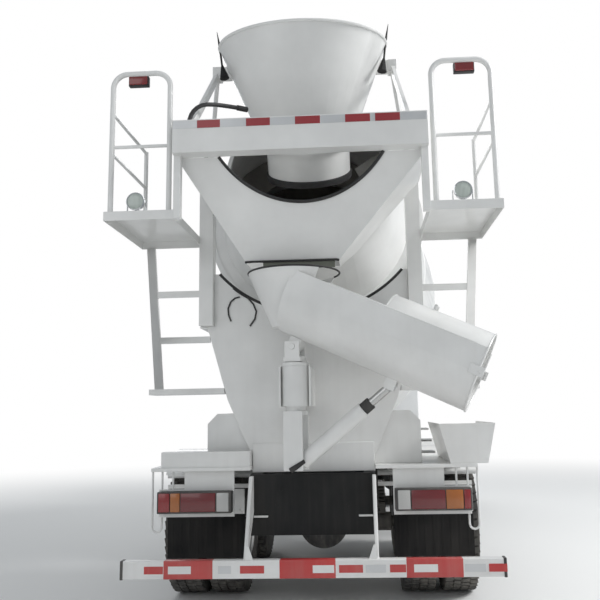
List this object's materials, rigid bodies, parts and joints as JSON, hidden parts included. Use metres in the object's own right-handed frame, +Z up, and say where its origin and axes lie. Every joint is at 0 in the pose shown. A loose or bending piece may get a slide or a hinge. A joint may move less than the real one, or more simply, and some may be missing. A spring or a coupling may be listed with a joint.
{
  "type": "concrete mixer truck",
  "caption": "Three-axle concrete mixer truck with a cab over the engine, a tilted spiral-bladed drum, feed hopper, discharge funnel, swivelling chute and operator platforms.",
  "frame": {"origin": "on the ground at the middle of the truck's length and width", "axes": "+Y forward along the truck, +X to its right, +Z up"},
  "size_m": [2.86, 8.6697, 3.9929],
  "materials": {
    "white_paint": "semi-gloss",
    "dark_paint": "satin",
    "steel": "worn",
    "tyre_rubber": "matte",
    "black_rubber": "matte",
    "rim_paint": "satin",
    "glass": "clear",
    "interior": "matte",
    "lamp_lens": "clear coat",
    "lamp_clear": "clear",
    "bar_paint": "retroreflective",
    "tank_metal": "satin"
  },
  "bodies": {
    "truck": {"frame": "dark_paint", "subframe": "white_paint", "front_axle": "dark_paint", "rear_bogie": "dark_paint", "powertrain": "dark_paint", "bumper": "white_paint", "headlamps": "lamp_clear", "fuel_tank": "tank_metal", "chassis_boxes": "dark_paint", "water_tank": "white_paint", "side_guards": "white_paint", "fenders": "white_paint", "mud_flaps": "black_rubber", "tail_lamps": "lamp_lens", "underrun_bar": "bar_paint", "front_pedestal": "white_paint", "reducer": "dark_paint", "rear_pedestal": "white_paint", "discharge_funnel": "white_paint", "hopper": "white_paint", "platforms": "white_paint", "railings": "white_paint", "upper_lamps": "lamp_clear", "spare_chute": "white_paint", "water_hose": "black_rubber", "grease_hoses": "black_rubber"},
    "cab": {"cab_shell": "white_paint", "cab_glass": "glass", "cab_interior": "interior", "mirrors": "dark_paint"},
    "left_door": {"door_left": "white_paint", "door_glass_left": "glass"},
    "right_door": {"door_right": "white_paint", "door_glass_right": "glass"},
    "front_flap": {"grille_flap": "dark_paint"},
    "left_knuckle": {"knuckle_left": "dark_paint"},
    "right_knuckle": {"knuckle_right": "dark_paint"},
    "steering_link": {"tie_rod": "dark_paint"},
    "front_left_wheel": {"rim_front_left": "rim_paint", "tyre_front_left": "tyre_rubber"},
    "front_right_wheel": {"rim_front_right": "rim_paint", "tyre_front_right": "tyre_rubber"},
    "mid_left_wheels": {"rims_mid_left": "rim_paint", "tyres_mid_left": "tyre_rubber"},
    "mid_right_wheels": {"rims_mid_right": "rim_paint", "tyres_mid_right": "tyre_rubber"},
    "rear_left_wheels": {"rims_rear_left": "rim_paint", "tyres_rear_left": "tyre_rubber"},
    "rear_right_wheels": {"rims_rear_right": "rim_paint", "tyres_rear_right": "tyre_rubber"},
    "mixing_drum": {"drum": "white_paint", "drum_blades": "steel"},
    "left_roller": {"roller_left": "steel"},
    "right_roller": {"roller_right": "steel"},
    "swivel": {"chute_post": "white_paint"},
    "main_chute": {"chute": "white_paint"},
    "folding_chute": {"chute_extension": "white_paint"},
    "jack_cylinder": {"jack_tube": "white_paint"},
    "jack_piston": {"jack_rod": "steel"}
  },
  "joints": [
    {"name": "cab_tilt", "type": "hinge", "parent": "truck", "child": "cab", "pos_m": [0, 4.15, 1.2], "axis": [-1, 0, 0], "range_deg": [0, 50]},
    {"name": "door_left_open", "type": "hinge", "parent": "cab", "child": "left_door", "pos_m": [-1.214, 4.124, 1.8], "axis": [0, 0, -1], "range_deg": [0, 70]},
    {"name": "door_right_open", "type": "hinge", "parent": "cab", "child": "right_door", "pos_m": [1.214, 4.124, 1.8], "axis": [0, 0, 1], "range_deg": [0, 70]},
    {"name": "front_flap_open", "type": "hinge", "parent": "cab", "child": "front_flap", "pos_m": [0, 4.253, 1.868], "axis": [1, 0, 0], "range_deg": [0, 60]},
    {"name": "steer_left", "type": "hinge", "parent": "truck", "child": "left_knuckle", "pos_m": [-0.82, 2.825, 0.54], "axis": [0, 0, 1], "range_deg": [-35, 35]},
    {"name": "steer_right", "type": "hinge", "parent": "truck", "child": "right_knuckle", "pos_m": [0.82, 2.825, 0.54], "axis": [0, 0, 1], "range_deg": [-35, 35]},
    {"name": "tie_rod_turn", "type": "hinge", "parent": "left_knuckle", "child": "steering_link", "pos_m": [-0.82, 2.625, 0.44], "axis": [0, 0, 1], "range_deg": [-35, 35]},
    {"name": "wheel_front_left", "type": "hinge", "parent": "left_knuckle", "child": "front_left_wheel", "pos_m": [-1.02, 2.825, 0.54], "axis": [1, 0, 0], "continuous": true},
    {"name": "wheel_front_right", "type": "hinge", "parent": "right_knuckle", "child": "front_right_wheel", "pos_m": [1.02, 2.825, 0.54], "axis": [1, 0, 0], "continuous": true},
    {"name": "wheel_mid_left", "type": "hinge", "parent": "truck", "child": "mid_left_wheels", "pos_m": [-0.925, -0.975, 0.54], "axis": [1, 0, 0], "continuous": true},
    {"name": "wheel_mid_right", "type": "hinge", "parent": "truck", "child": "mid_right_wheels", "pos_m": [0.925, -0.975, 0.54], "axis": [1, 0, 0], "continuous": true},
    {"name": "wheel_rear_left", "type": "hinge", "parent": "truck", "child": "rear_left_wheels", "pos_m": [-0.925, -2.325, 0.54], "axis": [1, 0, 0], "continuous": true},
    {"name": "wheel_rear_right", "type": "hinge", "parent": "truck", "child": "rear_right_wheels", "pos_m": [0.925, -2.325, 0.54], "axis": [1, 0, 0], "continuous": true},
    {"name": "drum_spin", "type": "hinge", "parent": "truck", "child": "mixing_drum", "pos_m": [0, 1.55, 2.05], "axis": [0, -0.9744, 0.225], "continuous": true},
    {"name": "roller_left_spin", "type": "hinge", "parent": "truck", "child": "left_roller", "pos_m": [-0.63124, -2.87026, 2.2413], "axis": [0, -0.9744, 0.225], "continuous": true},
    {"name": "roller_right_spin", "type": "hinge", "parent": "truck", "child": "right_roller", "pos_m": [0.63124, -2.87026, 2.2413], "axis": [0, -0.9744, 0.225], "continuous": true},
    {"name": "chute_swivel", "type": "hinge", "parent": "truck", "child": "swivel", "pos_m": [-0.09, -3.81, 1.89], "axis": [0, 0, -1], "range_deg": [0, 156]},
    {"name": "chute_lift", "type": "hinge", "parent": "swivel", "child": "main_chute", "pos_m": [-0.09, -3.81, 1.89], "axis": [0.2079, 0.9781, 0], "range_deg": [-12, 10]},
    {"name": "chute_fold", "type": "hinge", "parent": "main_chute", "child": "folding_chute", "pos_m": [1.08854, -4.06051, 1.67462], "axis": [0.2079, 0.9781, 0], "range_deg": [0, 180]},
    {"name": "jack_swing", "type": "hinge", "parent": "swivel", "child": "jack_cylinder", "pos_m": [-0.06066, -3.81624, 1.13], "axis": [0.2079, 0.9781, 0], "range_deg": [-20, 20]},
    {"name": "jack_slide", "type": "slide", "parent": "jack_cylinder", "child": "jack_piston", "axis": [0.7617, -0.1619, 0.6274], "range_m": [-0.2, 0.2]}
  ],
  "couplings": [
    {"joint": "steer_right", "follows": "steer_left", "ratio": 1},
    {"joint": "tie_rod_turn", "follows": "steer_left", "ratio": -1},
    {"joint": "roller_left_spin", "follows": "drum_spin", "ratio": -7.2},
    {"joint": "roller_right_spin", "follows": "drum_spin", "ratio": -7.2},
    {"joint": "jack_swing", "follows": "chute_lift", "ratio": 0.4172},
    {"joint": "jack_slide", "follows": "chute_lift", "m_per_rad": -0.6051}
  ]
}
